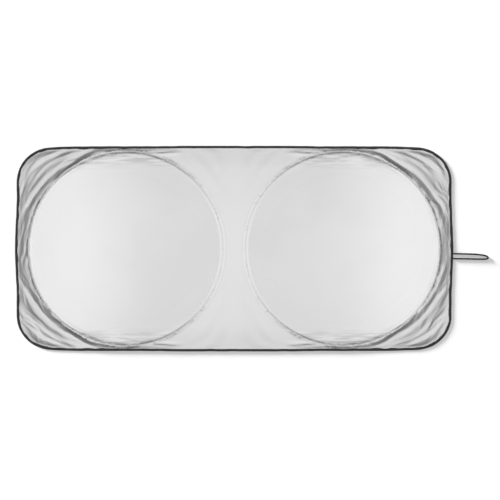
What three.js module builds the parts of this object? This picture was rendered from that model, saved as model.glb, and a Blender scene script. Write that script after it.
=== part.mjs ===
// Windscreen sunshade, spread out and lying silver side up.
//
// One rectangle of silver coated cloth is held open by two spring steel hoops. Each hoop runs in a
// casing sewn under the cloth and keeps the cloth inside it drum tight. The cloth outside the hoops
// is slack: it drops off the hoop and lies in folds that follow it round the corners. A folded tape
// binds the edge, and an elastic loop on the right edge holds the shade when it is twisted small.
//
// Millimetres. X runs along the length, Y across it and Z up from what the shade lies on. The origin
// is under the middle of the shade.
import * as THREE from 'three';
import { mergeVertices } from 'three/addons/utils/BufferGeometryUtils.js';

// The two hoops, from which the outline takes its size
const hoopRadius = 329; // to the middle of the wire
const middleStrip = 84; // between the wires of the two hoops
const endStrip = 50; // from a wire to the middle of the short edge
const sideStrip = 22.5; // from a wire to the long edge
const hoopSpacing = 2 * hoopRadius + middleStrip; // between the hoops' centres

// Outline
const length = hoopSpacing + 2 * (hoopRadius + endStrip);
const width = 2 * (hoopRadius + sideStrip);
const cornerRadius = 118;
const sideBulge = 6; // each hoop pushes the middle of its short side out by this much
const bulgeReach = 160; // from the middle of the short side to where the push ends
const bulgeRound = 20;
// How far the long edges draw in, as [distance from the short end, depth]
const edgeDips = [[100, 6], [150, 3.2], [210, 1.5], [450, 1.2], [570, 0]];
const edgeLift = 2.2; // the hoops hold the long edges this far off the ground between them
const liftReach = [0, 190]; // past a hoop's centre, where the edge starts to come down and is down

// Cloth
const clothThickness = 0.8;
const clearance = 0.3; // between pieces that lie on one another

// Flat spring wire of the hoops, its ends butted in a crimped sleeve
const wireAcross = 1.2;
const wireHeight = 2;
const wireSplit = 1;
const sleeveWall = 0.4;
const sleeveLength = 16;
const sleevePlay = 0.5; // room that the curve of the wire needs in the straight sleeve

// Casings, one under each hoop: a trough between two sewn flanges
const casingWall = 0.5;
const troughWidth = 6;
const innerFlange = 11;
const outerFlange = 2.5;
const seamRise = 0.6; // the cloth lifts this much over the wire

// Edge binding, a tape folded over the cloth's edge
const bindingCover = 8.2;
const bindingWall = 0.8;
const bindingRound = 0.6;
const foldGap = 1; // between the cloth's edge and the fold of the tape

// Elastic loop, sewn in under the binding on the right edge
const elasticDiameter = 5.4;
const elasticSides = 8;
const elasticSteps = 40;
const elasticHeight = 2.9; // of the cord's centre
const elasticRoute = [
  [750.2, -17.4], [776, -17.8], [802, -18.6], [822, -19.4], [838, -20.6], [850, -22.2], [858.4, -24],
  [864.4, -26.2], [867.6, -28.6], [868.6, -31], [867, -33.6], [863, -35.4], [856, -36], [838, -36],
  [820, -35.6], [796, -35], [772, -34.6], [749.7, -34.4],
];

// Angles are in degrees about a hoop's centre: 0 points to the near short side, 90 to the long side
// and 180 to the other hoop. Gaps are distances outside the hoop's seam.

// The slope by which the cloth drops off the hoop, as [angle, gap where it starts, gap where it ends]
const drops = [
  [0, 0, 42], [8, 0, 42], [14, 1, 42], [18, 11, 38], [22, 15, 35], [28, 9, 28], [33, 6, 25], [40, 2, 22],
  [46, 0, 20], [53, 0, 14], [58, 0, 11], [62, 0, 13], [67, 3, 17], [72, 3, 20], [76, 2, 18], [82, 0, 12],
  [90, 3, 12],
];

// Folds, each a run of [angle, gap of the crest, height, width of the inner slope, width of the outer]
const folds = [
  // Along the short side
  [
    [3, 24, 0, 12, 14], [8, 23, 0.45, 12, 14], [14, 20, 0.55, 10, 14], [19, 14, 0.2, 8, 10],
    [22, 12, 0, 8, 10],
  ],
  // Against the hoop, round the corner
  [
    [14, 46, 0, 16, 10], [22, 40, 1, 14, 26], [30, 37, 1.9, 15, 32], [38, 36, 1.8, 15, 32],
    [42, 36, 1.2, 15, 30], [46, 33, 0.8, 14, 20], [50, 31, 0.9, 12, 13], [56, 28, 0.8, 12, 14],
    [61, 26, 0, 12, 12],
  ],
  // Across the middle of the corner
  [
    [38, 60, 0, 8, 14], [42, 60, 0.9, 12, 14], [46, 60, 1.1, 12, 14], [50, 57, 1.2, 12, 13],
    [54, 50, 1.2, 12, 13], [58, 43, 1.1, 10, 12], [62, 38, 0.5, 8, 10], [65, 34, 0, 8, 8],
  ],
  // Close to the corner's binding
  [
    [38, 92, 0, 12, 18], [42, 92, 1.2, 14, 20], [46, 88, 2, 14, 24], [50, 78, 2, 12, 20],
    [54, 70, 1.2, 12, 16], [57, 64, 0, 8, 10],
  ],
  // A valley against the hoop, where the corner meets the long side
  [
    [54, 9, 0, 8, 10], [60, 11, -0.8, 8, 10], [66, 14, -1.2, 10, 11], [71, 15, -0.8, 10, 6],
    [75, 12, 0, 9, 4],
  ],
  // Leaving the hoop for the long side, toward the middle
  [[104, 0, 0, 5, 6], [107, 3, 0.6, 5, 6], [111, 11, 1, 7, 7], [116, 27, 0.8, 10, 9], [121, 44, 0, 12, 12]],
  [[97, 0, 0, 4, 5], [101, 5, 0.5, 5, 6], [107, 16, 0.9, 7, 7], [113, 31, 0.8, 9, 9], [119, 50, 0, 10, 10]],
  // Beside the hoop in the cloth between the two hoops
  [
    [122, 60, 0, 20, 22], [132, 52, 0.25, 20, 22], [142, 46, 0.3, 20, 22], [152, 40, 0.25, 18, 20],
    [164, 28, 0, 14, 16],
  ],
  // Down from the middle of the long side
  [[124, 90, 0, 26, 26], [132, 108, 0.3, 30, 26], [140, 92, 0.3, 30, 24], [148, 66, 0, 24, 20]],
];

// Mesh of the cloth: [last angle, step] for the rays from a hoop's centre, [angle, spacing] along them
const raySteps = [[12, 4], [72, 2.5], [104, 4]];
const middleSteps = 14;
const pointSpacing = [[0, 9], [20, 8], [75, 8], [100, 10], [130, 24], [180, 24]];
const mountRing = 150; // inner ring of the flat disc

// Steps round the outline, along a wire and round a casing
const longSteps = 10;
const cornerSteps = 9;
const shortSteps = 4;
const wireSteps = 80;
const casingSteps = 48;

// Heights, built up from what the shade lies on
const troughFloor = casingWall;
const sleeveBottom = troughFloor + clearance;
const wireBottom = sleeveBottom + sleeveWall + clearance;
const sleeveTop = wireBottom + wireHeight + clearance + sleeveWall;
const discBottom = sleeveTop + clearance - seamRise;
const discTop = discBottom + clothThickness;
const flangeTop = discBottom - clearance;
const flangeBottom = flangeTop - casingWall;
const edgeTop = bindingWall + clearance + clothThickness;
const bindingTop = edgeTop + clearance + bindingWall;

// Distances from a hoop's centre and from the outline
const hoopX = hoopSpacing / 2;
const troughInner = hoopRadius - troughWidth / 2;
const troughOuter = hoopRadius + troughWidth / 2;
const casingInner = troughInner - innerFlange;
const casingOuter = troughOuter + outerFlange;
const seamRadius = casingOuter + 1;
const flatRadius = casingInner - 1;
const rimInset = bindingWall + foldGap;
const coverInset = bindingCover + 1;
const edgeReach = 70; // between the hoops the cloth comes down over this distance from the binding

// Finishes
const silver = new THREE.MeshStandardMaterial({ color: 0xd4d6d8, roughness: 0.38, metalness: 0.75 });
const blackTape = new THREE.MeshStandardMaterial({ color: 0x262627, roughness: 0.85, metalness: 0 });
const springSteel = new THREE.MeshStandardMaterial({ color: 0x8c8f94, roughness: 0.35, metalness: 1 });
const sleeveMetal = new THREE.MeshStandardMaterial({ color: 0xb4b6b8, roughness: 0.3, metalness: 1 });
const greyCloth = new THREE.MeshStandardMaterial({ color: 0x9fa1a4, roughness: 0.6, metalness: 0.3 });
const blackElastic = new THREE.MeshStandardMaterial({ color: 0x1c1c1d, roughness: 0.8, metalness: 0 });

function smooth(value, from, to) {
  return THREE.MathUtils.smoothstep(value, from, to);
}

// Value in a column of a list of rows that start with a place, with an even slope between rows
function along(rows, place, column = 1) {
  const last = rows.length - 1;
  if (place <= rows[0][0]) return rows[0][column];
  if (place >= rows[last][0]) return rows[last][column];
  const next = rows.findIndex((row) => row[0] >= place);
  const [from, to] = [rows[next - 1], rows[next]];
  return THREE.MathUtils.mapLinear(place, from[0], to[0], from[column], to[column]);
}

function bulgeDepth(y) {
  const reach = Math.hypot(bulgeReach, bulgeRound) - bulgeRound;
  return sideBulge * Math.min(1, (Math.hypot(y, bulgeRound) - bulgeRound) / reach);
}

// Outline: how far a place with x and y above zero lies inside the edge
function insetAt(x, y) {
  const halfLength = length / 2 - bulgeDepth(y);
  const halfWidth = width / 2 - along(edgeDips, length / 2 - x);
  const overX = x - (halfLength - cornerRadius);
  const overY = y - (halfWidth - cornerRadius);
  const corner = Math.hypot(Math.max(overX, 0), Math.max(overY, 0));
  return cornerRadius - corner - Math.min(Math.max(overX, overY), 0);
}

function placeOnRay(angle, radius) {
  const turn = THREE.MathUtils.degToRad(angle);
  return [hoopX + radius * Math.cos(turn), radius * Math.sin(turn)];
}

// Radius at which a ray comes within a given inset of the edge
function radiusAtInset(angle, inset) {
  let near = seamRadius;
  let far = length;
  for (let halving = 0; halving < 50; halving += 1) {
    const middle = (near + far) / 2;
    const [x, y] = placeOnRay(angle, middle);
    if (x > 0 && insetAt(x, y) > inset) near = middle;
    else far = middle;
  }
  return near;
}

const meetAngle = 180 - THREE.MathUtils.radToDeg(Math.atan2(width / 2 - rimInset, hoopX));
const coverAngle = 180 - THREE.MathUtils.radToDeg(Math.atan2(width / 2 - coverInset, hoopX));

// How far the edge is held off the ground
function liftAt(x) {
  return edgeLift * (1 - smooth(Math.abs(x) - hoopX, ...liftReach));
}

// Radius at which the slack cloth on a ray ends: under the binding, or on the line between the hoops
function slackRadius(angle) {
  if (angle > meetAngle) return -hoopX / Math.cos(THREE.MathUtils.degToRad(angle));
  return radiusAtInset(angle, coverInset);
}

// A slope from 0 to 1 that is half even and half rounded
function ease(part) {
  return (THREE.MathUtils.clamp(part, 0, 1) + smooth(part, 0, 1)) / 2;
}

// Height of one fold at an angle and gap
function foldHeight(fold, angle, gap) {
  const [crest, height, inner, outer] = [1, 2, 3, 4].map((column) => along(fold, angle, column));
  const offset = gap - crest;
  return height * (1 - ease(Math.abs(offset) / (offset < 0 ? inner : outer)));
}

// How far down the cloth has come, from 0 at the hoop to 1 at the binding
function dropPart(angle, gap, room, inset) {
  const end = Math.min(along(drops, angle, 2), room);
  const start = THREE.MathUtils.clamp(along(drops, angle, 1), 0, Math.max(0, end - 5));
  const offHoop = ease((gap - start) / (end - start));
  const [seamX, seamY] = placeOnRay(angle, seamRadius);
  const reach = Math.min(edgeReach, insetAt(Math.max(seamX, 0), seamY) - coverInset);
  const atEdge = 1 - smooth(inset - coverInset, 0, reach);
  return THREE.MathUtils.lerp(offHoop, atEdge, smooth(angle, 84, 94));
}

// Height of the cloth's silver face
function clothTop(angle, radius, endRadius) {
  if (radius <= flatRadius) return discTop;
  if (radius <= hoopRadius) return discTop + seamRise * smooth(radius, flatRadius, hoopRadius);
  if (radius <= seamRadius) return discTop + seamRise * (1 - smooth(radius, hoopRadius, seamRadius));
  const gap = radius - seamRadius;
  const [x, y] = placeOnRay(angle, radius);
  const inset = insetAt(Math.max(x, 0), y);
  const endTop = edgeTop + liftAt(placeOnRay(angle, endRadius)[0]);
  const base = THREE.MathUtils.lerp(discTop, endTop, dropPart(angle, gap, endRadius - seamRadius, inset));
  const raised = folds.reduce((sum, fold) => sum + foldHeight(fold, angle, gap), 0);
  return base + raised * smooth(gap, 0, 6) * smooth(inset - coverInset, 0, 12);
}

// Angles of the rays from the outer side round to the other hoop
function rayAngles() {
  const angles = [0];
  for (const [last, step] of raySteps) {
    const first = angles[angles.length - 1];
    const count = Math.round((last - first) / step);
    for (let index = 1; index <= count; index += 1) angles.push(first + ((last - first) * index) / count);
  }
  const first = angles[angles.length - 1];
  const beforeMeeting = Math.round((middleSteps * (meetAngle - first)) / (180 - first));
  for (let index = 1; index <= beforeMeeting; index += 1) {
    angles.push(index === beforeMeeting ? meetAngle : first + ((meetAngle - first) * index) / beforeMeeting);
  }
  const afterMeeting = middleSteps - beforeMeeting;
  for (let index = 0; index <= afterMeeting; index += 1) {
    angles.push(index === 0 ? coverAngle : coverAngle + ((180 - coverAngle) * index) / afterMeeting);
  }
  return angles;
}

// Points of one ray: the flat disc, the rise over the wire, the slack cloth and the edge in the binding
function rayPoints(angle) {
  const end = slackRadius(angle);
  const count = Math.max(2, Math.round((end - seamRadius) / along(pointSpacing, angle)));
  const radii = [mountRing, flatRadius, hoopRadius];
  for (let index = 0; index <= count; index += 1) {
    radii.push(THREE.MathUtils.lerp(seamRadius, end, index / count));
  }
  const points = radii.map((radius) => [...placeOnRay(angle, radius), clothTop(angle, radius, end)]);
  if (angle > meetAngle) {
    points[points.length - 1][0] = 0;
    return { points, rim: null };
  }
  const rim = placeOnRay(angle, radiusAtInset(angle, rimInset));
  if (angle === meetAngle) rim[0] = 0;
  return { points, rim: [...rim, edgeTop + liftAt(rim[0])] };
}

// Triangles between two rays, seen from above, taking a point from whichever ray is further behind
function stitchRays(first, second, add) {
  let i = 0;
  let j = 0;
  while (i < first.length - 1 || j < second.length - 1) {
    const firstIsBehind = (i + 1) / (first.length - 1) <= (j + 1) / (second.length - 1);
    if (j === second.length - 1 || (i < first.length - 1 && firstIsBehind)) {
      add(first[i], first[i + 1], second[j]);
      i += 1;
    } else {
      add(first[i], second[j + 1], second[j]);
      j += 1;
    }
  }
}

// One quarter of the cloth's face and of its edge, as triangles and edge lines of [x, y, z] points
function clothQuarter() {
  const rays = rayAngles().map(rayPoints);
  const centre = [hoopX, 0, discTop];
  const triangles = [];
  const edges = [];
  const add = (...corners) => triangles.push(corners);
  for (let index = 0; index < rays.length - 1; index += 1) {
    const [ray, next] = [rays[index], rays[index + 1]];
    const last = ray.points.length - 1;
    const nextLast = next.points.length - 1;
    const flatCount = 4;
    add(centre, ray.points[0], next.points[0]);
    stitchRays(ray.points.slice(0, flatCount), next.points.slice(0, flatCount), add);
    stitchRays(ray.points.slice(flatCount - 1), next.points.slice(flatCount - 1), add);
    if (!ray.rim) continue;
    if (next.rim) {
      add(ray.points[last], ray.rim, next.rim);
      add(ray.points[last], next.rim, next.points[nextLast]);
      edges.push([ray.rim, next.rim]);
    } else {
      add(ray.points[last], ray.rim, next.points[nextLast]);
    }
  }
  return { triangles, edges };
}

// The whole cloth: the quarter mirrored both ways, with an underside and a cut edge
function clothGeometry() {
  const { triangles, edges } = clothQuarter();
  const positions = [];
  const addFace = (corners, flipped) => {
    for (const corner of flipped ? [...corners].reverse() : corners) positions.push(...corner);
  };
  for (const sideX of [1, -1]) {
    for (const sideY of [1, -1]) {
      const flipped = sideX * sideY < 0;
      const top = ([x, y, z]) => [sideX * x, sideY * y, z];
      const under = ([x, y, z]) => [sideX * x, sideY * y, z - clothThickness];
      for (const corners of triangles) {
        addFace(corners.map(top), flipped);
        addFace(corners.map(under), !flipped);
      }
      for (const [from, to] of edges) {
        addFace([under(from), under(to), top(to)], flipped);
        addFace([under(from), top(to), top(from)], flipped);
      }
    }
  }
  const geometry = new THREE.BufferGeometry();
  geometry.setAttribute('position', new THREE.Float32BufferAttribute(positions, 3));
  const merged = mergeVertices(geometry, 1e-3);
  merged.computeVertexNormals();
  return merged;
}

// Places on the outline of one quarter with the direction straight out, from the long side's middle on
function outlineQuarter() {
  const straightX = length / 2 - cornerRadius;
  const straightY = width / 2 - cornerRadius;
  const places = [];
  for (let index = 0; index < longSteps; index += 1) {
    places.push([(straightX * index) / longSteps, width / 2, 90]);
  }
  for (let index = 0; index < cornerSteps; index += 1) {
    const angle = 90 - (90 * index) / cornerSteps;
    const turn = THREE.MathUtils.degToRad(angle);
    const [x, y] = [cornerRadius * Math.cos(turn), cornerRadius * Math.sin(turn)];
    places.push([straightX + x, straightY + y, angle]);
  }
  for (let index = 0; index <= shortSteps; index += 1) {
    places.push([length / 2, straightY * (1 - index / shortSteps), 0]);
  }
  return places.map(([x, y, angle]) => {
    const out = new THREE.Vector2(1, 0).rotateAround(new THREE.Vector2(), THREE.MathUtils.degToRad(angle));
    const place = new THREE.Vector2(x, y);
    for (let step = 0; step < 4; step += 1) place.addScaledVector(out, insetAt(place.x, place.y));
    return { place, out };
  });
}

function mirrored({ place, out }, sideX, sideY) {
  const sides = new THREE.Vector2(sideX, sideY);
  return { place: place.clone().multiply(sides), out: out.clone().multiply(sides) };
}

// The full outline, clockwise from the middle of the upper long side
function outlineRound() {
  const quarter = outlineQuarter();
  const backwards = [...quarter].reverse();
  return [
    ...quarter,
    ...backwards.slice(1).map((item) => mirrored(item, 1, -1)),
    ...quarter.slice(1).map((item) => mirrored(item, -1, -1)),
    ...backwards.slice(1, -1).map((item) => mirrored(item, -1, 1)),
  ];
}

// A section of [depth in from the edge, height] points carried round the outline as one closed body
function bindingGeometry() {
  const section = [
    [bindingCover, 0], [bindingRound, 0], [0, bindingRound], [0, bindingTop - bindingRound],
    [bindingRound, bindingTop], [bindingCover, bindingTop], [bindingCover, bindingTop - bindingWall],
    [bindingWall, bindingTop - bindingWall], [bindingWall, bindingWall], [bindingCover, bindingWall],
  ];
  const round = outlineRound();
  const positions = round.flatMap(({ place, out }) => section.flatMap(([depth, height]) => [
    place.x - out.x * depth, place.y - out.y * depth, height + liftAt(place.x),
  ]));
  const faces = [];
  const count = section.length;
  for (let step = 0; step < round.length; step += 1) {
    const here = step * count;
    const next = ((step + 1) % round.length) * count;
    for (let side = 0; side < count; side += 1) {
      const after = (side + 1) % count;
      faces.push(here + side, here + after, next + after);
      faces.push(here + side, next + after, next + side);
    }
  }
  const geometry = new THREE.BufferGeometry();
  geometry.setAttribute('position', new THREE.Float32BufferAttribute(positions, 3));
  geometry.setIndex(faces);
  geometry.computeVertexNormals();
  return geometry;
}

// Trough and flanges of a casing, turned about the hoop's axis
function casingGeometry() {
  const slope = casingWall * 1.5;
  const profile = [
    [casingInner, flangeBottom], [troughInner - slope - casingWall, flangeBottom],
    [troughInner - casingWall, 0], [troughOuter + casingWall, 0],
    [troughOuter + casingWall + slope, flangeBottom], [casingOuter, flangeBottom],
    [casingOuter, flangeTop], [troughOuter + slope, flangeTop], [troughOuter, troughFloor],
    [troughInner, troughFloor], [troughInner - slope, flangeTop], [casingInner, flangeTop],
    [casingInner, flangeBottom],
  ].map(([radius, height]) => new THREE.Vector2(radius, height));
  const geometry = new THREE.LatheGeometry(profile, casingSteps);
  geometry.rotateX(Math.PI / 2);
  return geometry;
}

// The wire's course: round the hoop from one side of the split to the other
class HoopCourse extends THREE.Curve {
  getPoint(part, target = new THREE.Vector3()) {
    const split = wireSplit / hoopRadius;
    const turn = -Math.PI / 2 + split / 2 + part * (2 * Math.PI - split);
    return target.set(hoopRadius * Math.cos(turn), hoopRadius * Math.sin(turn), wireBottom + wireHeight / 2);
  }
}

function rectangle(across, height) {
  const shape = new THREE.Shape();
  shape.moveTo(-across / 2, -height / 2);
  shape.lineTo(across / 2, -height / 2);
  shape.lineTo(across / 2, height / 2);
  shape.lineTo(-across / 2, height / 2);
  shape.closePath();
  return shape;
}

function hoopGeometry() {
  return new THREE.ExtrudeGeometry(rectangle(wireHeight, wireAcross), {
    steps: wireSteps,
    extrudePath: new HoopCourse(),
  });
}

// Crimped sleeve over the split, at the hoop's lowest point on the plan
function sleeveGeometry() {
  const holeAcross = wireAcross + 2 * sleevePlay;
  const holeHeight = wireHeight + 2 * clearance;
  const shape = rectangle(holeAcross + 2 * sleeveWall, holeHeight + 2 * sleeveWall);
  shape.holes.push(rectangle(holeAcross, holeHeight));
  const geometry = new THREE.ExtrudeGeometry(shape, { depth: sleeveLength, bevelEnabled: false });
  geometry.translate(0, 0, -sleeveLength / 2);
  geometry.rotateY(Math.PI / 2);
  geometry.rotateX(Math.PI / 2);
  return geometry;
}

function elasticGeometry() {
  const route = elasticRoute.map(([x, y]) => new THREE.Vector3(x, y, elasticHeight));
  const section = new THREE.Shape();
  for (let side = 0; side < elasticSides; side += 1) {
    const turn = ((side + 0.5) * 2 * Math.PI) / elasticSides;
    const place = [(elasticDiameter / 2) * Math.cos(turn), (elasticDiameter / 2) * Math.sin(turn)];
    if (side === 0) section.moveTo(...place);
    else section.lineTo(...place);
  }
  section.closePath();
  return new THREE.ExtrudeGeometry(section, {
    steps: elasticSteps,
    extrudePath: new THREE.CatmullRomCurve3(route, false, 'centripetal'),
  });
}

function piece(name, geometry, material) {
  const mesh = new THREE.Mesh(geometry, material);
  mesh.name = name;
  return mesh;
}

// One hoop with its sleeve and casing, about the hoop's centre
function hoopSet(side) {
  const set = new THREE.Group();
  set.add(piece(`${side}_hoop`, hoopGeometry(), springSteel));
  const sleeve = piece(`${side}_hoop_sleeve`, sleeveGeometry(), sleeveMetal);
  sleeve.position.set(0, -hoopRadius, wireBottom + wireHeight / 2);
  set.add(sleeve);
  set.add(piece(`${side}_hoop_casing`, casingGeometry(), greyCloth));
  set.position.x = side === 'left' ? -hoopX : hoopX;
  return set;
}

const sunshade = new THREE.Group();
sunshade.add(piece('silver_sheet', clothGeometry(), silver));
sunshade.add(piece('edge_binding', bindingGeometry(), blackTape));
sunshade.add(hoopSet('left'));
sunshade.add(hoopSet('right'));
sunshade.add(piece('elastic_loop', elasticGeometry(), blackElastic));

export default sunshade;
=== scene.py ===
# %% [markdown]
# # A twist-fold windscreen sunshade, spread out
# The real shade is one rectangle of silver coated cloth. Two spring steel hoops run in casings sewn
# under it and pull the cloth inside them drum tight, while the cloth round them stays slack and lies
# in folds. A black tape binds the edge, and an elastic loop on the right edge holds the shade when it
# is folded away. We load the measured solids as a fixed frame and dress them.

# %% Load the frame
import math
import bpy
import numpy as np
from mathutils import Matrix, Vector


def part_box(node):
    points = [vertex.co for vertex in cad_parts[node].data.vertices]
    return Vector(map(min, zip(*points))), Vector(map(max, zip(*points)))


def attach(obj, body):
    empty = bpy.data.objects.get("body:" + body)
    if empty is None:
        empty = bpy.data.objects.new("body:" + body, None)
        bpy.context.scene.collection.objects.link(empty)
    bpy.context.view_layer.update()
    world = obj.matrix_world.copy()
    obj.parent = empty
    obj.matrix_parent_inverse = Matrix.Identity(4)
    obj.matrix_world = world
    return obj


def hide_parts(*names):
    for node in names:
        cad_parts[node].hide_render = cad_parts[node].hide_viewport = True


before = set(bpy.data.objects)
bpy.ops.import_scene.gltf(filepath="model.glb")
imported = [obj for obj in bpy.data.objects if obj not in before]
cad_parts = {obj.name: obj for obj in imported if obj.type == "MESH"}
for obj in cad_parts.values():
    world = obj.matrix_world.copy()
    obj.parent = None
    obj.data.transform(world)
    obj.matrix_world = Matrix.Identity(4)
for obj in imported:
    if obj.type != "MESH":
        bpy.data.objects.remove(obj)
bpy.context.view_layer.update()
MM = 0.001
print("solids:", sorted(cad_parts))

# %% [markdown]
# The shade lies flat and the picture looks straight down on it. A long lens from high above keeps the
# long edges parallel. One pixel of the picture covers 3.42 mm, and the middle of the shade sits a
# little left of the middle of the picture, so the camera stands a little to the right of it.

# %% Camera
PIXEL = 3.422 * MM
PICTURE_PIXELS = 500
CAMERA_HEIGHT = 5.0
CAMERA_RIGHT = 15.9 * PIXEL
CAMERA_BACK = 1.4 * PIXEL
SENSOR_MM = 36.0

camera_data = bpy.data.cameras.new("camera")
camera_data.sensor_width = SENSOR_MM
camera_data.lens = SENSOR_MM * CAMERA_HEIGHT / (PIXEL * PICTURE_PIXELS)
camera = bpy.data.objects.new("camera", camera_data)
camera.location = (CAMERA_RIGHT, -CAMERA_BACK, CAMERA_HEIGHT)
bpy.context.scene.collection.objects.link(camera)
bpy.context.scene.camera = camera
print("lens:", round(camera_data.lens, 1), "mm")

# %% [markdown]
# Every place is worked out from the solids: the middle and radius of each hoop, the seam outside its
# casing and the outer outline. Only what the solids can't tell is written here as a size.

# %% Sizes read from the frame
hoop_low, hoop_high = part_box("right_hoop")
casing_low, casing_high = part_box("right_hoop_casing")
tape_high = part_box("edge_binding")[1]

HOOP_X = (hoop_low[0] + hoop_high[0]) / 2
WIRE_ACROSS = 1.2 * MM
HOOP_RADIUS = (hoop_high[1] - hoop_low[1]) / 2 - WIRE_ACROSS / 2
CASING_OUTER = (casing_high[1] - casing_low[1]) / 2
SEAM_RADIUS = CASING_OUTER + 1 * MM
HALF_LENGTH = tape_high[0]
HALF_WIDTH = tape_high[1]
TAPE_TOP = tape_high[2]
CORNER_RADIUS = 118 * MM
SIDE_BULGE = 6 * MM
BULGE_REACH = 160 * MM
BULGE_ROUND = 20 * MM
# how much the long edges draw in: (mm from the short side, mm)
EDGE_DIPS = [(100, 6), (150, 3.2), (210, 1.5), (450, 1.2), (570, 0)]
print("hoops:", round(HOOP_X / MM, 1), "mm from the middle, radius", round(HOOP_RADIUS / MM, 1), "mm")
print("outline:", round(2 * HALF_LENGTH / MM, 1), "by", round(2 * HALF_WIDTH / MM, 1), "mm")

# %% [markdown]
# The outline is a rounded rectangle that the hoops push out a little at the short ends, and that
# draws in a little near the corners of the long sides. One function says how far any place lies inside
# it, and everything that follows the edge uses that function.

# %% The outline
DIP_BLUR = 20
HALVINGS = 50


def smooth(value, start, end):
    part = np.clip((value - start) / (end - start), 0, 1)
    return part * part * (3 - 2 * part)


def along(pairs, place, blur=0.0):
    places = [pair[0] for pair in pairs]
    values = [pair[1] for pair in pairs]
    return sum(np.interp(place + shift * blur, places, values) for shift in (-1, -0.5, 0, 0.5, 1)) / 5


def bulge_depth(y):
    full = math.hypot(BULGE_REACH, BULGE_ROUND) - BULGE_ROUND
    return SIDE_BULGE * np.minimum(1, (np.hypot(y, BULGE_ROUND) - BULGE_ROUND) / full)


def inset_at(x, y):
    half_length = HALF_LENGTH - bulge_depth(y)
    half_width = HALF_WIDTH - along(EDGE_DIPS, (HALF_LENGTH - x) / MM, DIP_BLUR) * MM
    over_x = x - (half_length - CORNER_RADIUS)
    over_y = y - (half_width - CORNER_RADIUS)
    corner = np.hypot(np.maximum(over_x, 0), np.maximum(over_y, 0))
    return CORNER_RADIUS - corner - np.minimum(np.maximum(over_x, over_y), 0)


def radius_at_inset(angle, inset):
    turn = np.radians(angle)
    near = np.full(np.shape(turn), SEAM_RADIUS)
    far = np.full(np.shape(turn), 2 * HALF_LENGTH)
    for _ in range(HALVINGS):
        middle = (near + far) / 2
        x = HOOP_X + middle * np.cos(turn)
        inside = (x > 0) & (inset_at(x, middle * np.sin(turn)) > inset)
        near = np.where(inside, middle, near)
        far = np.where(inside, far, middle)
    return near


print("each hoop's middle lies", round(float(inset_at(HOOP_X, 0.0)) / MM, 1), "mm inside the outline")

# %% [markdown]
# Folds are easiest to describe from the hoop, because the slack cloth hangs from it: an angle round
# the hoop and a distance outside its seam. A fold is a crest that runs along a course of such places,
# with a gentle slope toward the hoop and a steep one away from it. The steep slope is what turns dark.

# %% Folds of the slack cloth
ANGLE_BLUR = 2.0
# where the drop off the hoop starts and ends: (angle, mm from the seam, mm from the seam)
DROPS = [
    (0, 0, 42), (8, 0, 42), (14, 1, 42), (18, 11, 38), (22, 15, 35), (28, 9, 28), (33, 6, 25),
    (40, 2, 22), (46, 0, 20), (53, 0, 14), (58, 0, 11), (62, 0, 13), (67, 3, 17), (72, 3, 20),
    (76, 2, 18), (82, 0, 12), (90, 3, 12),
]

# each fold is a list of stations: (angle, mm from the seam, mm high, mm wide inward, mm wide outward)
FOLDS = [
    [(3, 24, 0, 12, 14), (8, 23, 0.45, 12, 14), (14, 20, 0.55, 10, 14), (19, 14, 0.2, 8, 10),
     (22, 12, 0, 8, 10)],
    [(14, 46, 0, 16, 10), (22, 40, 1.0, 14, 26), (30, 37, 1.9, 15, 32), (38, 36, 1.8, 15, 32),
     (42, 36, 1.2, 15, 30), (46, 33, 0.8, 14, 20), (50, 31, 0.9, 12, 13), (56, 28, 0.8, 12, 14),
     (61, 26, 0, 12, 12)],
    [(38, 60, 0, 8, 14), (42, 60, 0.9, 12, 14), (46, 60, 1.1, 12, 14), (50, 57, 1.2, 12, 13),
     (54, 50, 1.2, 12, 13), (58, 43, 1.1, 10, 12), (62, 38, 0.5, 8, 10), (65, 34, 0, 8, 8)],
    [(38, 92, 0, 12, 18), (42, 92, 1.2, 14, 20), (46, 88, 2.0, 14, 24), (50, 78, 2.0, 12, 20),
     (54, 70, 1.2, 12, 16), (57, 64, 0, 8, 10)],
    [(54, 9, 0, 8, 10), (60, 11, -0.8, 8, 10), (66, 14, -1.2, 10, 11), (71, 15, -0.8, 10, 6),
     (75, 12, 0, 9, 4)],
    [(104, 0, 0, 5, 6), (107, 3, 0.6, 5, 6), (111, 11, 1.0, 7, 7), (116, 27, 0.8, 10, 9),
     (121, 44, 0, 12, 12)],
    [(97, 0, 0, 4, 5), (101, 5, 0.5, 5, 6), (107, 16, 0.9, 7, 7), (113, 31, 0.8, 9, 9),
     (119, 50, 0, 10, 10)],
    [(122, 60, 0, 20, 22), (132, 52, 0.25, 20, 22), (142, 46, 0.3, 20, 22), (152, 40, 0.25, 18, 20),
     (164, 28, 0, 14, 16)],
    [(124, 90, 0, 26, 26), (132, 108, 0.3, 30, 26), (140, 92, 0.3, 30, 24), (148, 66, 0, 24, 20)],
]


def station(stations, angle, column):
    return along([(entry[0], entry[column]) for entry in stations], angle, ANGLE_BLUR)


def ease(part):
    part = np.clip(part, 0, 1)
    return (part + smooth(part, 0, 1)) / 2


def fold_height(fold, angle, gap):
    crest, height, inner, outer = [station(fold, angle, column) for column in (1, 2, 3, 4)]
    offset = gap / MM - crest
    return height * MM * (1 - ease(np.abs(offset) / np.where(offset < 0, inner, outer)))


tallest = max(place[2] for fold in FOLDS for place in fold)
print("folds:", len(FOLDS), "in each quarter, the highest", tallest, "mm")

# %% [markdown]
# The cloth's height at a place: flat inside the hoop, lifted over the wire, and then dropping off the
# hoop to the edge that the tape holds down. Between the two hoops it stays stretched level, and its
# long edges lift off the ground there. No crease may press the cloth into the floor.

# %% Height of the cloth
DISC_TOP = hoop_high[2] + 1.2 * MM
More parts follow.
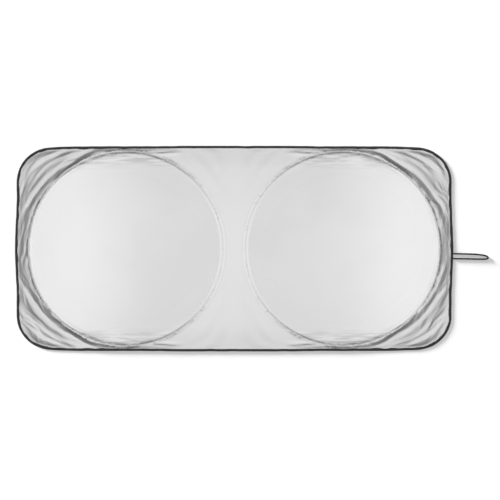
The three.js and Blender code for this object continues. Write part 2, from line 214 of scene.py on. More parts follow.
# the cloth's rise over the wire: (angle, crest in mm from the seam, foot in mm from the seam, mm high)
SEAM_ROLL = [
    (0, -9.5, 2, 0.5), (6, -10, 5, 0.6), (11, -9, 8, 0.75), (17, -8, 10, 0.9), (22, -7, 8, 0.85),
    (28, -7, 5, 0.7), (36, -9, 3, 0.6), (42, -10, 0, 0.5), (48, -9, 0, 0.5), (54, -12, -1, 0.9),
    (60, -16, -3, 1.0), (66, -17, -6, 0.9), (72, -17, -5, 0.9), (78, -17, 0, 1.0), (84, -17, -3, 0.9),
    (90, -16, 0, 0.8), (96, -15, 1, 0.8), (100, -15, 0, 0.8), (114, -13, 0, 0.7), (122, -12, 1, 0.6),
    (132, -10, 1, 0.4), (144, -8.5, 0, 0.2), (180, -8.5, 0, 0.15),
]
FLAT_RADIUS = HOOP_RADIUS - 15 * MM
TAPE_WALL = 0.8 * MM
TAPE_COVER = 8.2 * MM
COVER_INSET = TAPE_COVER + 1 * MM
EDGE_REACH = 70 * MM
EDGE_LIFT = 2.2 * MM
LIFT_REACH = 190 * MM
SHORTEST_DROP = 5 * MM
EDGE_DROP_ANGLES = (84, 94)
SEAM_FADE = 6 * MM
FOLD_FADE = 12 * MM
RIM_INSET = TAPE_WALL + 1 * MM
EDGE_TOP = 1.9 * MM
CLOTH_THICKNESS = 0.8 * MM
LOWEST_TOP = CLOTH_THICKNESS + 0.3 * MM
# the angles whose rays reach the shade's middle line at the cloth's rim and at the tape's free edge
MEET_ANGLE = 180 - math.degrees(math.atan2(HALF_WIDTH - RIM_INSET, HOOP_X))
COVER_ANGLE = 180 - math.degrees(math.atan2(HALF_WIDTH - COVER_INSET, HOOP_X))


def edge_lift(x):
    return EDGE_LIFT * (1 - smooth(np.abs(x) - HOOP_X, 0, LIFT_REACH))


def drop_part(angle, gap, room, inset):
    end = np.minimum(station(DROPS, angle, 2) * MM, room)
    start = np.clip(station(DROPS, angle, 1) * MM, 0, np.maximum(0, end - SHORTEST_DROP))
    off_hoop = ease((gap - start) / (end - start))
    seam_x = HOOP_X + SEAM_RADIUS * np.cos(np.radians(angle))
    seam_y = SEAM_RADIUS * np.sin(np.radians(angle))
    reach = np.minimum(EDGE_REACH, inset_at(np.maximum(seam_x, 0), seam_y) - COVER_INSET)
    at_edge = 1 - smooth(inset - COVER_INSET, 0, reach)
    return off_hoop + (at_edge - off_hoop) * smooth(angle, *EDGE_DROP_ANGLES)


def cloth_top(angle, radius, end_radius):
    crest, foot, roll = [station(SEAM_ROLL, angle, column) * MM for column in (1, 2, 3)]
    crest, foot = SEAM_RADIUS + crest, SEAM_RADIUS + foot
    rise = np.where(radius <= crest, smooth(radius, FLAT_RADIUS, crest), 1 - smooth(radius, crest, foot))
    gap = np.maximum(radius - SEAM_RADIUS, 0)
    room = end_radius - SEAM_RADIUS
    x = HOOP_X + radius * np.cos(np.radians(angle))
    y = radius * np.sin(np.radians(angle))
    inset = inset_at(np.maximum(x, 0), y)
    end_top = EDGE_TOP + edge_lift(HOOP_X + end_radius * np.cos(np.radians(angle)))
    raised = sum(fold_height(fold, angle, gap) for fold in FOLDS)
    raised *= smooth(gap, 0, SEAM_FADE) * smooth(inset, COVER_INSET, COVER_INSET + FOLD_FADE)
    return DISC_TOP + (end_top - DISC_TOP) * drop_part(angle, gap, room, inset) + roll * rise + raised


print("discs at", round(DISC_TOP / MM, 2), "mm, edge at", round(EDGE_TOP / MM, 2), "mm")

# %% [markdown]
# The folds are the same in all four corners, as the cut of the cloth makes them. What each corner has
# of its own are the creases from being folded away: long thin ridges that lie along the folds and bend
# a little. Smooth noise, stretched along the hoop and squeezed away from it, draws them. The middle
# panel is stretched, so it gets only a small share of them, and none on the shade's middle line.

# %% Creases of the slack cloth
LATTICE_SIDE = 64
LATTICE = np.random.default_rng(11).random((LATTICE_SIDE, LATTICE_SIDE))
CREASE_ACROSS = 14 * MM
CREASE_ALONG = 75 * MM
CREASE_HEIGHT = 1.8 * MM
BEND_SIZE = 70 * MM
BEND_REACH = 55 * MM
FINE_SHARE = 0.35
RIGHT_SHIFT = 20
# the middle panel's share, and how far from the middle line that share and the rest come in
PANEL_SHARE = 0.12
PANEL_START = (0.04, 0.14)
CORNER_START = (0.26, 0.46)


def grain(across, along_it):
    column, row = np.floor(across).astype(int), np.floor(along_it).astype(int)
    right, up = smooth(across - column, 0, 1), smooth(along_it - row, 0, 1)
    columns = [column % LATTICE_SIDE, (column + 1) % LATTICE_SIDE]
    rows = [row % LATTICE_SIDE, (row + 1) % LATTICE_SIDE]
    low, high = [
        LATTICE[columns[0], level] * (1 - right) + LATTICE[columns[1], level] * right for level in rows
    ]
    return low * (1 - up) + high * up


def crease_height(x, y):
    from_hoop = np.abs(x) - HOOP_X
    radius = np.hypot(from_hoop, y)
    arc = np.arctan2(y, from_hoop) * HOOP_RADIUS
    bend = grain(x / BEND_SIZE + 5, y / BEND_SIZE + 9) * BEND_REACH
    across = (radius + bend) / CREASE_ACROSS + np.where(x > 0, RIGHT_SHIFT, 0)
    lengthwise = arc / CREASE_ALONG
    ridges = (1 - FINE_SHARE) * grain(across, lengthwise + 31)
    ridges += FINE_SHARE * grain(2 * across, 2 * lengthwise + 11)
    inset = inset_at(np.abs(x), np.abs(y))
    slack = smooth(radius, SEAM_RADIUS, SEAM_RADIUS + FOLD_FADE)
    slack *= smooth(inset, COVER_INSET, COVER_INSET + FOLD_FADE)
    panel, corner = smooth(np.abs(x), *PANEL_START), smooth(np.abs(x), *CORNER_START)
    slack *= PANEL_SHARE * panel + (1 - PANEL_SHARE) * corner
    return (ridges - 0.5) * CREASE_HEIGHT * slack


print("creases: up to", round(CREASE_HEIGHT / 2 / MM, 2), "mm above and below the folds")

# %% [markdown]
# The cloth is modelled as rays that leave each hoop's middle. A ray has close points where the cloth
# folds and few where it is flat, and neighbouring rays are joined by triangles. One quarter is made
# and mirrored, as the cut of the cloth is the same in all four corners, and each corner then gets its
# own creases. The underside is the same mesh a little lower, and a narrow wall closes the rim.

# %% Mesh of the cloth
RAY_STEPS = [(8, 0.8), (72, 0.42), (104, 0.6), (180, 0.9)]  # (up to this angle, step in degrees)
POINT_SPACING = [(0, 3.0), (75, 3.0), (100, 3.2), (130, 5.5), (180, 5.5)]  # (angle, mm)
DISC_RINGS = [0.16, 0.26]
SEAM_RINGS = [-17, -12.4, -11, -9.6, -5, -2, 0, 2, 3, 4.4]  # mm from the wire
LEAST_TURN = 0.3
WELD_DIGITS = 7


def ray_angles():
    angles = [np.array([0.0])]
    first = 0.0
    for last, step in RAY_STEPS:
        count = round((last - first) / step)
        angles.append(first + (last - first) * np.arange(1, count + 1) / count)
        first = last
    angles = np.concatenate(angles)
    before = angles[angles < MEET_ANGLE - LEAST_TURN]
    after = angles[angles > COVER_ANGLE + LEAST_TURN]
    return np.concatenate([before, [MEET_ANGLE, COVER_ANGLE], after])


def stitch_rays(first, second):
    faces = []
    i = j = 0
    while i < len(first) - 1 or j < len(second) - 1:
        first_behind = (i + 1) * (len(second) - 1) <= (j + 1) * (len(first) - 1)
        if j == len(second) - 1 or (i < len(first) - 1 and first_behind):
            faces.append((first[i], first[i + 1], second[j]))
            i += 1
        else:
            faces.append((first[i], second[j + 1], second[j]))
            j += 1
    return faces


def cloth_quarter():
    """Points (x, y, angle, radius, radius at the ray's end), triangles and the pairs along the rim."""
    angles = ray_angles()
    covered = radius_at_inset(angles, COVER_INSET)
    rims = radius_at_inset(angles, RIM_INSET)
    points = [(HOOP_X, 0.0, 0.0, 0.0, 1.0)]
    faces, edge = [], []
    previous = None
    for angle, cover, rim in zip(angles, covered, rims):
        turn = math.radians(angle)
        has_rim = angle <= MEET_ANGLE
        end = cover if has_rim else -HOOP_X / math.cos(turn)
        count = max(2, round((end - SEAM_RADIUS) / (along(POINT_SPACING, angle) * MM)))
        inner = DISC_RINGS + [HOOP_RADIUS + ring * MM for ring in SEAM_RINGS]
        outer = list(SEAM_RADIUS + (end - SEAM_RADIUS) * np.arange(count + 1) / count)
        radii = inner + outer + ([rim] if has_rim else [])
        start = len(points)
        for radius in radii:
            x = HOOP_X + radius * math.cos(turn)
            on_middle = radius == radii[-1] and angle >= MEET_ANGLE
            points.append((0.0 if on_middle else x, radius * math.sin(turn), angle, radius, end))
        indices = list(range(start, len(points)))
        flat, slack = indices[: len(inner) + 1], indices[len(inner) : len(inner) + len(outer)]
        rim_index = indices[-1] if has_rim else None
        if previous:
            flat_before, slack_before, rim_before = previous
            faces.append((0, flat_before[0], flat[0]))
            faces += stitch_rays(flat_before, flat) + stitch_rays(slack_before, slack)
            if rim_before is not None:
                far = rim_index if has_rim else slack[-1]
                faces.append((slack_before[-1], rim_before, far))
                if has_rim:
                    faces.append((slack_before[-1], rim_index, slack[-1]))
                    edge.append((rim_before, rim_index))
        previous = (flat, slack, rim_index)
    return np.array(points), np.array(faces), np.array(edge)


def make_mesh(name, vertices, faces, materials=None):
    mesh = bpy.data.meshes.new(name)
    mesh.from_pydata([tuple(v) for v in vertices], [], [tuple(f) for f in faces])
    mesh.polygons.foreach_set("use_smooth", [True] * len(mesh.polygons))
    if materials is not None:
        mesh.polygons.foreach_set("material_index", materials)
    mesh.update()
    piece = bpy.data.objects.new(name, mesh)
    bpy.context.scene.collection.objects.link(piece)
    return piece


def make_cloth():
    points, faces, edge = cloth_quarter()
    top = cloth_top(points[:, 2], points[:, 3], points[:, 4])
    top[0] = DISC_TOP
    is_rim = np.zeros(len(points), bool)
    is_rim[edge.ravel()] = True
    top[is_rim] = EDGE_TOP + edge_lift(points[is_rim, 0])
    count = len(points)
    all_points, all_faces, all_materials = [], [], []
    for side_x in (1, -1):
        for side_y in (1, -1):
            base = len(all_points) * count
            x, y = points[:, 0] * side_x, points[:, 1] * side_y
            creased = np.maximum(top + np.where(is_rim, 0, crease_height(x, y)), LOWEST_TOP)
            upper = np.column_stack([x, y, creased])
            lower = upper - [0, 0, CLOTH_THICKNESS]
            all_points += [upper, lower]
            step = 1 if side_x * side_y > 0 else -1
            low_edge = edge + count
            walls = np.concatenate([
                np.column_stack([low_edge[:, 0], low_edge[:, 1], edge[:, 1]]),
                np.column_stack([low_edge[:, 0], edge[:, 1], edge[:, 0]]),
            ])
            groups = ((faces, step, 0), (faces + count, -step, 1), (walls, step, 1))
            for group, direction, material in groups:
                all_faces.append(group[:, ::direction] + base)
                all_materials.append(np.full(len(group), material))
    vertices = np.concatenate(all_points)
    triangles = np.concatenate(all_faces)
    welded = np.round(vertices, WELD_DIGITS) + 0.0
    unique, where = np.unique(welded, axis=0, return_inverse=True)
    triangles = where.ravel()[triangles]
    return make_mesh("silver_cloth", unique, triangles, np.concatenate(all_materials).tolist())


cloth = make_cloth()
print("cloth:", len(cloth.data.vertices), "points", len(cloth.data.polygons), "triangles")
heights = [vertex.co.z / MM for vertex in cloth.data.vertices]
print("lowest point", round(min(heights), 2), "mm, highest point", round(max(heights), 2), "mm")
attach(cloth, "root")
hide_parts("silver_sheet")

# %% [markdown]
# Everything sewn to the edge follows the outline. We walk round it clockwise in even steps and note
# each place and the way out from it. Small irregularities of the sewing come from a few sine waves of
# uneven length, each of which fits the way round a whole number of times.

# %% Places round the outline
OUTLINE_LENGTH = 4 * (HALF_LENGTH + HALF_WIDTH - 2 * CORNER_RADIUS) + 2 * math.pi * CORNER_RADIUS
OUTLINE_ROUNDS = 4


def outline_places(spacing):
    straight_x, straight_y = HALF_LENGTH - CORNER_RADIUS, HALF_WIDTH - CORNER_RADIUS
    arc = CORNER_RADIUS * math.pi / 2
    quarter = straight_x + arc + straight_y
    lap = np.arange(round(4 * quarter / spacing)) * 4 * quarter / round(4 * quarter / spacing)
    section = np.floor(lap / quarter).astype(int)
    part = np.where(section % 2 == 0, lap - section * quarter, (section + 1) * quarter - lap)
    turn = np.clip((part - straight_x) / CORNER_RADIUS, 0, math.pi / 2)
    out = np.column_stack([np.sin(turn), np.cos(turn)])
    place = np.column_stack([np.minimum(part, straight_x), np.full(len(part), straight_y)])
    place[:, 1] -= np.maximum(0, part - straight_x - arc)
    place += out * CORNER_RADIUS
    for _ in range(OUTLINE_ROUNDS):
        place += out * inset_at(place[:, 0], place[:, 1])[:, None]
    signs = np.array([[1, 1], [1, -1], [-1, -1], [-1, 1]])[section]
    return lap, place * signs, out * signs


def wander(lap, lengths, phases):
    turns = [2 * math.pi * lap * round(OUTLINE_LENGTH / length) / OUTLINE_LENGTH for length in lengths]
    return sum(np.sin(turn + phase) for turn, phase in zip(turns, phases)) / len(turns)


def sweep_closed(name, rings):
    steps, sides = rings.shape[:2]
    here = np.arange(steps * sides).reshape(steps, sides)
    after = np.roll(here, -1, axis=0)
    faces = np.stack([here, np.roll(here, -1, axis=1), np.roll(after, -1, axis=1), after], axis=-1)
    return make_mesh(name, rings.reshape(-1, 3), faces.reshape(-1, 4))


print("once round the edge:", round(OUTLINE_LENGTH, 3), "m")

# %% [markdown]
# The binding is a plain black tape folded over the edge and sewn through, so we carry a folded section
# round the outline. The stitches pull the tape, so its outer line wanders a little and its free edges
# pucker. Toward the corners the folds push it about, and it covers more of the cloth there.

# %% The folded tape
TAPE_STEP = 3 * MM
LINE_WANDER = 0.9 * MM
PUCKER_HEIGHT = 0.35 * MM
FREE_START = 3.0
UPPER_HALF = 1.5
UPPER_LIFT = 0.5
# the tape's width beyond its section in mm, and where along the shade it grows to the corner's value
WIDTH_WANDER, CORNER_WANDER = 0.7, 1.1
WIDTH_GAIN, CORNER_GAIN = -0.2, 1.2
CORNER_ZONE = (0.25, 0.5)
# the folded section, from the free edge below to the one above and back inside: (mm inward, mm up)
TAPE_SECTION = [
    (8.2, 0.15), (7.4, 0.0), (1.2, 0.0), (0.45, 0.25), (0.08, 0.85), (0.0, 1.5), (0.08, 2.15),
    (0.45, 2.75), (1.2, 3.0), (4.6, 3.02), (7.6, 3.0), (8.2, 2.85), (8.25, 2.4), (7.8, 2.25),
    (0.9, 2.2), (0.9, 0.8), (7.8, 0.75),
]


def tape_pucker(lap):
    return wander(lap, [0.012, 0.017, 0.031], [0.5, 2.2, 3.7]) * PUCKER_HEIGHT


def make_tape():
    lap, place, out = outline_places(TAPE_STEP)
    line = wander(lap, [0.061, 0.083, 0.137, 0.29], [0.3, 1.7, 2.9, 4.1]) * LINE_WANDER
    pucker = tape_pucker(lap)
    toward_corner = smooth(np.abs(place[:, 0]), *CORNER_ZONE)
    uneven = wander(lap, [0.047, 0.071, 0.19], [1.1, 3.0, 5.2])
    uneven *= (WIDTH_WANDER + CORNER_WANDER * toward_corner) * MM
    uneven += (WIDTH_GAIN + CORNER_GAIN * toward_corner) * MM
    raised = edge_lift(place[:, 0])
    rings = []
    for depth, height in TAPE_SECTION:
        free = smooth(depth, FREE_START, TAPE_COVER / MM)
        inward = depth * MM + (pucker + uneven) * free - line
        lift = pucker * free * (UPPER_LIFT if height > UPPER_HALF else 0.0)
        inner = place - out * np.maximum(inward, 0)[:, None]
        rings.append(np.column_stack([inner, height * MM + lift + raised]))
    return sweep_closed("edge_tape", np.stack(rings, axis=1))


tape = make_tape()
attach(tape, "root")
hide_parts("edge_binding")
print("tape:", len(tape.data.polygons), "faces")

# %% [markdown]
# Under the cloth each hoop runs in a casing, a strip sewn down along both its edges. Its shape is a
# turned profile like the solid's, with many more steps and soft edges. Its flat borders pucker a little
# where the seams hold them.

# %% Casings
CASING_STEPS = 480
CASING_WAVES = (173, 241)
CASING_PUCKER = 0.08 * MM
BORDER_START, BORDER_TOP = 4, 3.3
# the section of the casing, round the hollow for the wire: (mm from the wire's circle, mm up)
CASING_PROFILE = [
    (-14.0, 3.15), (-3.95, 3.1), (-3.55, 2.4), (-3.45, 0.9), (-3.1, 0.25), (-2.4, 0.0), (2.4, 0.0),
    (3.1, 0.25), (3.45, 0.9), (3.55, 2.4), (3.95, 3.1), (5.5, 3.15), (5.5, 3.6), (3.5, 3.6),
    (3.05, 2.6), (3.0, 0.9), (2.4, 0.5), (-2.4, 0.5), (-3.0, 0.9), (-3.05, 2.6), (-3.5, 3.6),
    (-14.0, 3.6),
]


def make_casing(name, middle_x):
    turn = np.arange(CASING_STEPS) * 2 * math.pi / CASING_STEPS
    pucker = (np.sin(turn * CASING_WAVES[0]) + np.sin(turn * CASING_WAVES[1] + 1.3)) * CASING_PUCKER
    rings = []
    for offset, height in CASING_PROFILE:
        radius = HOOP_RADIUS + offset * MM + pucker * (abs(offset) > BORDER_START)
        up = np.maximum(height * MM + pucker * (0 < height < BORDER_TOP), 0)
        rings.append(np.column_stack([middle_x + radius * np.cos(turn), radius * np.sin(turn), up]))
    casing = sweep_closed(name, np.stack(rings, axis=1))
    casing.data.flip_normals()
    return casing


casings = [make_casing("left_casing_cloth", -HOOP_X), make_casing("right_casing_cloth", HOOP_X)]
for casing, node in zip(casings, ["left_hoop_casing", "right_hoop_casing"]):
    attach(casing, "root")
    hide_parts(node)
print("casings:", sum(len(casing.data.polygons) for casing in casings), "faces")

# %% [markdown]
# The elastic loop is one round cord, laid out double, with both ends sewn in under the binding. It
# follows the same points as its solid, joined by a smooth curve that doesn't swing out at the tight
# turn. A real elastic cord is a braid over rubber threads, so the tube gets a relief of two sets of
# strands that wind opposite ways.

# %% The elastic loop
# the way of the cord's middle, seen from above: (mm right of the middle, mm up the picture)
ELASTIC_ROUTE = [
    (750.2, -17.4), (776, -17.8), (802, -18.6), (822, -19.4), (838, -20.6), (850, -22.2), (858.4, -24),
    (864.4, -26.2), (867.6, -28.6), (868.6, -31), (867, -33.6), (863, -35.4), (856, -36), (838, -36),
    (820, -35.6), (796, -35), (772, -34.6), (749.7, -34.4),
]
ELASTIC_DIAMETER = 5.4 * MM
ELASTIC_HEIGHT = 2.9 * MM
ELASTIC_SIDES = 32
ELASTIC_STEP = 0.6 * MM
CURVE_SAMPLES = 60
BRAID_STRANDS = 8
BRAID_PITCH = 14 * MM
BRAID_RELIEF = 0.22 * MM


def smooth_route(points, spacing):
    points = np.array(points, float)
    lengths = np.sqrt(np.linalg.norm(np.diff(points, axis=0), axis=1))
    knots = np.concatenate([[0], np.cumsum(lengths)])
    ghosts = np.vstack([2 * points[0] - points[1], points, 2 * points[-1] - points[-2]])
    times = np.concatenate([[-lengths[0]], knots, [knots[-1] + lengths[-1]]])
    line = []
    for index in range(1, len(points)):
        last = index == len(points) - 1
        t = np.linspace(times[index], times[index + 1], CURVE_SAMPLES, endpoint=last)[:, None]
        p, k = ghosts[index - 1 : index + 3], times[index - 1 : index + 3]
        a = [((k[n + 1] - t) * p[n] + (t - k[n]) * p[n + 1]) / (k[n + 1] - k[n]) for n in range(3)]
        b = [((k[n + 2] - t) * a[n] + (t - k[n]) * a[n + 1]) / (k[n + 2] - k[n]) for n in range(2)]
        line.append(((k[2] - t) * b[0] + (t - k[1]) * b[1]) / (k[2] - k[1]))
    line = np.vstack(line)
    run = np.concatenate([[0], np.cumsum(np.linalg.norm(np.diff(line, axis=0), axis=1))])
    steps = np.linspace(0, run[-1], round(run[-1] / spacing) + 1)
    return np.column_stack([np.interp(steps, run, line[:, axis]) for axis in range(3)]), steps


def make_elastic():
    route = [(x * MM, y * MM, ELASTIC_HEIGHT) for x, y in ELASTIC_ROUTE]
    line, run = smooth_route(route, ELASTIC_STEP)
    ahead = np.gradient(line, axis=0)
    ahead /= np.linalg.norm(ahead, axis=1)[:, None]
    side = np.cross(ahead, [0, 0, 1])
    up = np.cross(side, ahead)
    turn = np.arange(ELASTIC_SIDES) * 2 * math.pi / ELASTIC_SIDES
    spin = run[:, None] * 2 * math.pi / BRAID_PITCH
    over = np.sin(BRAID_STRANDS / 2 * (turn[None] + spin))
    under = np.sin(BRAID_STRANDS / 2 * (turn[None] - spin))
    radius = ELASTIC_DIAMETER / 2 - BRAID_RELIEF * (1 - np.maximum(np.abs(over), np.abs(under)))
    rings = line[:, None] + radius[..., None] * (
        np.cos(turn)[None, :, None] * side[:, None] + np.sin(turn)[None, :, None] * up[:, None]
    )
    steps, sides = rings.shape[:2]
    here = np.arange(steps * sides).reshape(steps, sides)
    across = np.roll(here, -1, axis=1)
    faces = np.stack([here[:-1], across[:-1], across[1:], here[1:]], axis=-1).reshape(-1, 4).tolist()
    faces += [here[0][::-1].tolist(), here[-1].tolist()]
    cord = make_mesh("elastic_cord", rings.reshape(-1, 3), faces)
    cord.data.flip_normals()
    return cord, line, run[-1]


elastic, elastic_line, elastic_length = make_elastic()
print("elastic loop:", round(elastic_length / MM, 1), "mm along its middle")
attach(elastic, "root")
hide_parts("elastic_loop")

# %% [markdown]
# Stitches are short threads that dip into the cloth at both ends. One small spindle shape is copied
# along each row: two rows round each hoop, and one along the top of the binding.

# %% Stitches
THREAD = 0.55 * MM
STITCH_SIDES = 5
HOOP_ROWS = [HOOP_RADIUS - 11 * MM, HOOP_RADIUS + 3 * MM]
HOOP_SPACING, HOOP_STITCH = 3.6 * MM, 3.0 * MM
TAPE_ROW = 6.6 * MM
TAPE_SPACING, TAPE_STITCH = 4.0 * MM, 3.2 * MM
PUCKER_AT_ROW = 0.4
# the hoops' stitches lie inside the drop to the edge, so any end of the ray beyond it gives their height
RAY_END = SEAM_RADIUS + 50 * MM


def make_stitches(name, places, headings, ups, length):
    stations = np.array([-0.5, -0.34, 0.0, 0.34, 0.5])
    widths = np.array([0.25, 0.85, 1.0, 0.85, 0.25]) * THREAD / 2
    lifts = np.array([-0.7, -0.05, 0.15, -0.05, -0.7]) * THREAD
    turn = np.arange(STITCH_SIDES) * 2 * math.pi / STITCH_SIDES
    across = np.cross(ups, headings)
    middle = places[:, None] + headings[:, None] * (stations * length)[None, :, None]
    middle = middle + ups[:, None] * lifts[None, :, None]
    ring = (
        np.cos(turn)[None, None, :, None] * across[:, None, None]
        + np.sin(turn)[None, None, :, None] * ups[:, None, None]
    )
    points = middle[:, :, None] + ring * widths[None, :, None, None]
    count, rows = len(places), len(stations)
    here = np.arange(count * rows * STITCH_SIDES).reshape(count, rows, STITCH_SIDES)
    beside = np.roll(here, -1, axis=2)
    sides = np.stack([here[:, :-1], here[:, 1:], beside[:, 1:], beside[:, :-1]], axis=-1).reshape(-1, 4)
    faces = sides.tolist() + here[:, 0].tolist() + here[:, -1, ::-1].tolist()
    piece = make_mesh(name, points.reshape(-1, 3), faces)
    piece.data.flip_normals()
    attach(piece, "root")
    return piece


def hoop_row(middle_x, radius):
    count = round(2 * math.pi * radius / HOOP_SPACING)
    turn = np.arange(count) * 2 * math.pi / count
    angle = np.degrees(np.arctan2(np.abs(np.sin(turn)), np.cos(turn) * np.sign(middle_x)))
    height = cloth_top(angle, np.full(count, radius), np.full(count, RAY_END))
    places = np.column_stack([middle_x + radius * np.cos(turn), radius * np.sin(turn), height])
    headings = np.column_stack([-np.sin(turn), np.cos(turn), np.zeros(count)])
    return places, headings, np.tile([0.0, 0.0, 1.0], (count, 1))


def tape_row():
    lap, place, out = outline_places(TAPE_SPACING)
    height = TAPE_TOP - EDGE_LIFT + (edge_lift(place[:, 0]) + tape_pucker(lap) * PUCKER_AT_ROW)
    places = np.column_stack([place - out * TAPE_ROW, height])
    # the stitches of one quarter mirror those of the next
    mirrored = np.where(place[:, 0] * place[:, 1] < 0, -1, 1)
    headings = np.column_stack([out[:, 1], -out[:, 0], np.zeros(len(out))]) * mirrored[:, None]
    return places, headings, np.tile([0.0, 0.0, 1.0], (len(places), 1))


hoop_stitches = []
for side, middle_x in (("left", -HOOP_X), ("right", HOOP_X)):
    rows = [hoop_row(middle_x, radius) for radius in HOOP_ROWS]
    joined = [np.concatenate(parts) for parts in zip(*rows)]
    stitches = make_stitches(f"{side}_hoop_stitches", *joined, HOOP_STITCH)
    hoop_stitches.append(stitches)

tape_stitches = make_stitches("tape_stitches", *tape_row(), TAPE_STITCH)
print("stitches:", sum(len(s.data.polygons) for s in hoop_stitches + [tape_stitches]), "faces")

# %% [markdown]
# A finish is a network of nodes. Two small helpers let us write it as sums: a Flow wraps one value,
# colour or vector and understands plus, minus and times, and a Finish adds any other node. A band is a
# soft stripe round one value, and a weave is two crossed sets of fine waves.

# %% Shader helpers


class Flow:
    """One value on its way through the nodes of a finish."""

    def __init__(self, finish, socket):
        self.finish = finish
        self.socket = socket

    def maths(self, operation, first, second=None):
        inputs = {0: first} if second is None else {0: first, 1: second}
        return self.finish.node("ShaderNodeMath", {"operation": operation}, inputs)

    def __add__(self, other):
        return self.maths("ADD", self, other)

    def __radd__(self, other):
        return self.maths("ADD", other, self)

    def __sub__(self, other):
        return self.maths("SUBTRACT", self, other)

    def __rsub__(self, other):
        return self.maths("SUBTRACT", other, self)

    def __mul__(self, other):
        return self.maths("MULTIPLY", self, other)

    def __rmul__(self, other):
        return self.maths("MULTIPLY", other, self)

    def __truediv__(self, other):
        return self.maths("DIVIDE", self, other)

    def __rtruediv__(self, other):
        return self.maths("DIVIDE", other, self)

    def __pow__(self, other):
        return self.maths("POWER", self, other)

    def __neg__(self):
        return self.maths("MULTIPLY", self, -1.0)

    def __abs__(self):
        return self.maths("ABSOLUTE", self)

    def sin(self):
        return self.maths("SINE", self)

    def exp(self):
        return self.maths("EXPONENT", self)

    def root(self):
        return self.maths("SQRT", self)

    def angle_to(self, other):
        return self.maths("ARCTAN2", self, other)

    def band(self, middle, width):
        return (-(((self - middle) / width) ** 2)).exp()

    def ramp(self, start, end, low=0.0, high=1.0):
        inputs = {"Value": self, "From Min": start, "From Max": end, "To Min": low, "To Max": high}
        return self.finish.node("ShaderNodeMapRange", {"interpolation_type": "SMOOTHSTEP"}, inputs)


class Finish:
    """A material under construction."""

    def __init__(self, name):
        self.material = bpy.data.materials.new(name)
        self.material.use_nodes = True
        self.tree = self.material.node_tree
        self.tree.nodes.clear()

    def node(self, kind, settings=None, inputs=None, output=0):
        node = self.tree.nodes.new(kind)
        for key, value in (settings or {}).items():
            setattr(node, key, value)
        for key, value in (inputs or {}).items():
            if isinstance(value, Flow):
                self.tree.links.new(value.socket, node.inputs[key])
            else:
                node.inputs[key].default_value = value
        return Flow(self, node.outputs[output])

    def place(self):
        position = self.node("ShaderNodeTexCoord", output="Object")
        split = self.tree.nodes.new("ShaderNodeSeparateXYZ")
        self.tree.links.new(position.socket, split.inputs[0])
        return [Flow(self, split.outputs[axis]) for axis in range(3)]

    def point(self, x, y, z):
        return self.node("ShaderNodeCombineXYZ", None, {0: x, 1: y, 2: z})

    def noise(self, x, y, z, detail=2.0, roughness=0.5):
        inputs = {"Vector": self.point(x, y, z), "Scale": 1.0, "Detail": detail, "Roughness": roughness}
        return self.node("ShaderNodeTexNoise", {"noise_dimensions": "3D"}, inputs, "Fac")

    def mix(self, factor, first, second):
        return self.node("ShaderNodeMix", {"data_type": "RGBA"}, {0: factor, 6: first, 7: second}, 2)

    def bump(self, height, distance, strength):
        inputs = {"Strength": strength, "Distance": distance, "Height": height}
        return self.node("ShaderNodeBump", None, inputs, "Normal")

    def surface(self, inputs):
        shader = self.node("ShaderNodeBsdfPrincipled", None, inputs)
        self.close(shader)
        return self.material

    def close(self, shader):
        end = self.tree.nodes.new("ShaderNodeOutputMaterial")
        self.tree.links.new(shader.socket, end.inputs["Surface"])


def weave(x, y, pitch):
    return (x * (2 * math.pi / pitch)).sin() * (y * (2 * math.pi / pitch)).sin()


def grey(shade):
    return (shade, shade, shade, 1)


# %% [markdown]
# The silver side is woven polyester with an aluminium coating. It is a broad, satin mirror: flat cloth
# gives back the lamps above it and sloping cloth gives back the darker room, which is what draws the
# folds. Close up it has a fine plain weave, short creases in the slack cloth and puckers at the seams.
# Its colour also carries painted shade: a thin dark line that wanders along each seam, darker cloth at
# the foot of the hoop and in a band round each corner, and faint rippled shade at the long sides of the
# discs. Painted highlights make the slack cloth lighter, and two thin bands along each seam near the
# shade's middle.

# %% Silver cloth
CLOTH_WEAVE = 0.5 * MM
WEAVE_DEPTH, PUCKER_DEPTH, CREASE_DEPTH = 0.02, 1.3, 0.55
QUARTER_BLEND = 0.1
CLOUD_SIZE, CLOUD_LAYER = 0.2, 0.3
UNDER_CLOUD = 100 * MM
UNEVEN_TURNS, WOBBLE_TURNS = 7, 22
FINE_ACROSS, FINE_ALONG = 7 * MM, 45 * MM
PUCKER_LENGTH, PUCKER_WIDTH, PUCKER_BAND = 4.5 * MM, 40 * MM, 6 * MM
WOBBLE, WAVE_WOBBLE = 8 * MM, 4 * MM
SEAM_HIGHLIGHT_GAPS, SEAM_HIGHLIGHT_WIDTH = (-9, 3), 4 * MM
SEAM_SHADE_WIDTH, SEAM_SHADE_STRENGTH, SEAM_SHADE_GAIN = 2.6 * MM, 0.15, 0.23
FOOT_SHADE_WIDTH, FOOT_SHADE_STRENGTH = 6 * MM, 0.12
CORNER_SHADE_GAP, CORNER_SHADE_WIDTH, CORNER_SHADE_BEND, CORNER_SHADE_STRENGTH = 34 * MM, 9 * MM, 0.3, 0.2
RIPPLE_SHADE_LENGTH, RIPPLE_SHADE_WIDTH, RIPPLE_SHADE_STRENGTH = 0.09, 0.009, 0.3
# between which distances from the shade's short middle line (ends) and long one (sides) each comes in
CREASE_ENDS = (0.0, 0.05)
SEAM_HIGHLIGHT_ENDS = (0.04, 0.2)
SEAM_SHADE_ENDS, SEAM_SHADE_SIDES = (0.05, 0.11), (0.2, 0.3)
FOOT_SHADE_ENDS, FOOT_SHADE_SIDES = (0.3, 0.36), (0.02, 0.14)
CORNER_SHADE_ENDS, CORNER_SHADE_SIDES = (0.53, 0.6), (0.15, 0.21)
RIPPLE_SHADE_SIDES = (0.262, 0.322)
DISC_GREYS, SLACK_HIGHLIGHT_GREY, SEAM_HIGHLIGHT_GREY = (0.795, 0.835), 0.885, 0.92


